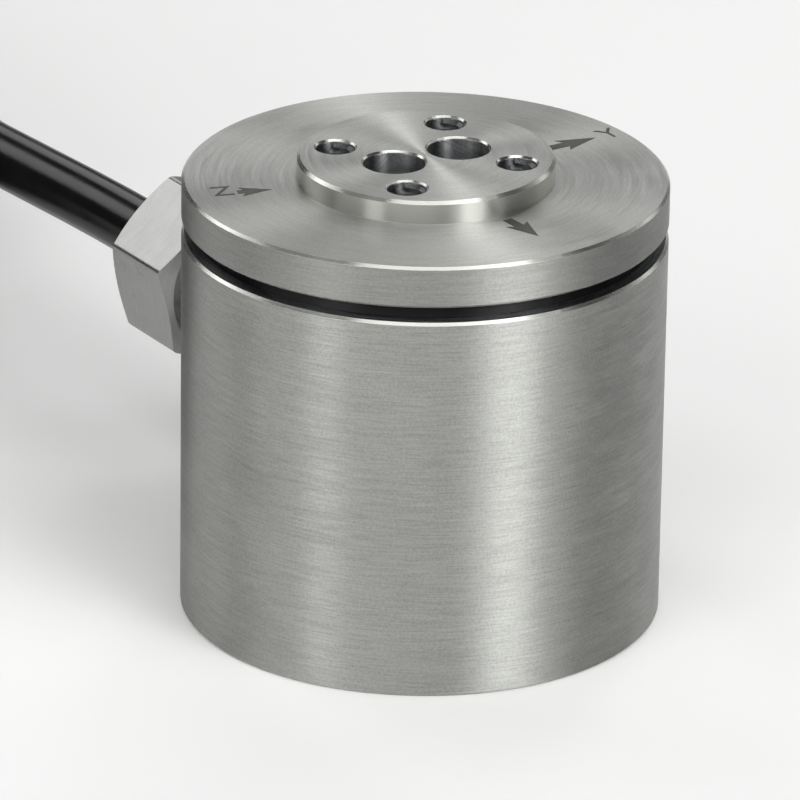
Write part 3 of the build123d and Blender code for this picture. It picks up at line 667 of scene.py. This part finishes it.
def hank_corners(x, radius, z, first_angle, next_radius, next_z):
    """Control points of one half turn, round its arc and on to the next lane."""
    points = []
    for number, step in enumerate(CORNER_ANGLES):
        share = (number + 0.5) / len(CORNER_ANGLES)
        corner_r = (radius + (next_radius - radius) * share) / math.cos(math.radians(BEND_HALF_STEP))
        a = math.radians(first_angle + step)
        points.append((x + corner_r * math.cos(a), HANK_Y + corner_r * math.sin(a),
                       z + (next_z - z) * share))
    return points


def hank_turn(radius, z, next_radius, next_z, last):
    """One turn: run away from the sensor, far bend, run back, near bend that changes lane."""
    reach = radius * math.tan(math.radians(BEND_HALF_STEP))
    points = [(NEAR_X - reach, HANK_Y + radius, z), (FAR_X + reach, HANK_Y + radius, z)]
    points += hank_corners(FAR_X, radius, z, 90, radius, z)
    if last:
        return points + [(FAR_X + run, HANK_Y - radius + END_LIFT, z + END_LIFT) for run in END_RUN]
    points += [(FAR_X + reach, HANK_Y - radius, z), (NEAR_X - reach, HANK_Y - radius, z)]
    return points + hank_corners(NEAR_X, radius, z, 270, next_radius, next_z)


def cable_points():
    """Control points of the whole cable: the route, then the hank wound down outside and up inside."""
    lanes = [(OUTER_R, z) for z in reversed(LAYER_Z)] + [(INNER_R, z) for z in LAYER_Z]
    points = list(ROUTE)
    for number, (radius, z) in enumerate(lanes):
        last = number == len(lanes) - 1
        next_radius, next_z = (radius, z) if last else lanes[number + 1]
        points += hank_turn(radius, z, next_radius, next_z, last)
    return points


def build_cable():
    """Cable as one smooth spline with a round section."""
    points = cable_points()
    curve = bpy.data.curves.new("signal_cable", "CURVE")
    curve.dimensions = "3D"
    curve.bevel_depth = CABLE_R
    curve.bevel_resolution = 6
    curve.resolution_u = 5
    curve.use_fill_caps = True
    spline = curve.splines.new("NURBS")
    spline.points.add(len(points) - 1)
    for point, place in zip(spline.points, points):
        point.co = (*[c * MM for c in place], 1.0)
    spline.order_u = 3
    spline.use_endpoint_u = True
    cable = bpy.data.objects.new("signal_cable", curve)
    bpy.context.collection.objects.link(cable)
    cable.data.materials.append(FINISHES["cable_jacket"])
    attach(cable, "root")
    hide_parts("cable", "cable_hank")


def build_floor():
    """Wide plain floor."""
    mesh = bpy.data.meshes.new("floor")
    shape = bmesh.new()
    bmesh.ops.create_grid(shape, x_segments=1, y_segments=1, size=FLOOR_HALF_WIDTH)
    shape.to_mesh(mesh)
    shape.free()
    floor = bpy.data.objects.new("floor", mesh)
    bpy.context.collection.objects.link(floor)
    material, _, shader = start_finish("floor_paper", FLOOR_COLOUR, 0.0, 0.9)
    shader.inputs["Specular IOR Level"].default_value = 0.0
    floor.data.materials.append(material)


def from_camera_side(azimuth, height_angle):
    """Direction from the sensor, at an azimuth to the right of the camera."""
    a, e = math.radians(CAMERA_AZIMUTH + azimuth), math.radians(height_angle)
    return Vector((math.sin(a) * math.cos(e), -math.cos(a) * math.cos(e), math.sin(e)))


def build_lights():
    """Grey room and soft boxes that face the sensor."""
    world = bpy.data.worlds.new("studio")
    world.use_nodes = True
    world.node_tree.nodes["Background"].inputs["Color"].default_value = (*[ROOM_GREY] * 3, 1.0)
    bpy.context.scene.world = world
    for name, (azimuth, height_angle, width, height, brightness) in SOFT_BOXES.items():
        lamp = bpy.data.lights.new("soft_box_" + name, "AREA")
        lamp.shape = "RECTANGLE"
        lamp.size, lamp.size_y = width, height
        lamp.energy = brightness * math.pi * width * height
        box = bpy.data.objects.new("soft_box_" + name, lamp)
        away = from_camera_side(azimuth, height_angle)
        turn = (-away).to_track_quat("-Z", "Y").to_matrix().to_4x4()
        box.matrix_world = Matrix.Translation(Vector(TARGET) * MM + away * BOX_DISTANCE) @ turn
        bpy.context.collection.objects.link(box)


def build_camera():
    """Camera at the photograph's place, turned so that the sensor sits where it does there."""
    away = from_camera_side(0.0, CAMERA_HEIGHT_ANGLE)
    place = Vector(TARGET) + away * CAMERA_DISTANCE
    level = (-away).to_track_quat("-Z", "Y")
    right, up = level @ Vector((1, 0, 0)), level @ Vector((0, 1, 0))
    aim = Vector(TARGET) - right * AIM_LEFT - up * AIM_DOWN
    turn = (aim - place).to_track_quat("-Z", "Y")
    roll = Matrix.Rotation(math.radians(CAMERA_ROLL), 4, "Z")
    camera = bpy.data.objects.new("camera", bpy.data.cameras.new("camera"))
    camera.data.lens = LENS_MM
    camera.data.clip_start = 0.01
    camera.matrix_world = Matrix.Translation(place * MM) @ turn.to_matrix().to_4x4() @ roll
    bpy.context.collection.objects.link(camera)
    bpy.context.scene.camera = camera


FINISHES = build_finishes()
dress_nodes(FINISHES)
build_hole_threads()
build_gland_thread()
build_marks()
build_cable()
build_floor()
build_lights()
build_camera()
bpy.context.scene.view_settings.view_transform = "Standard"
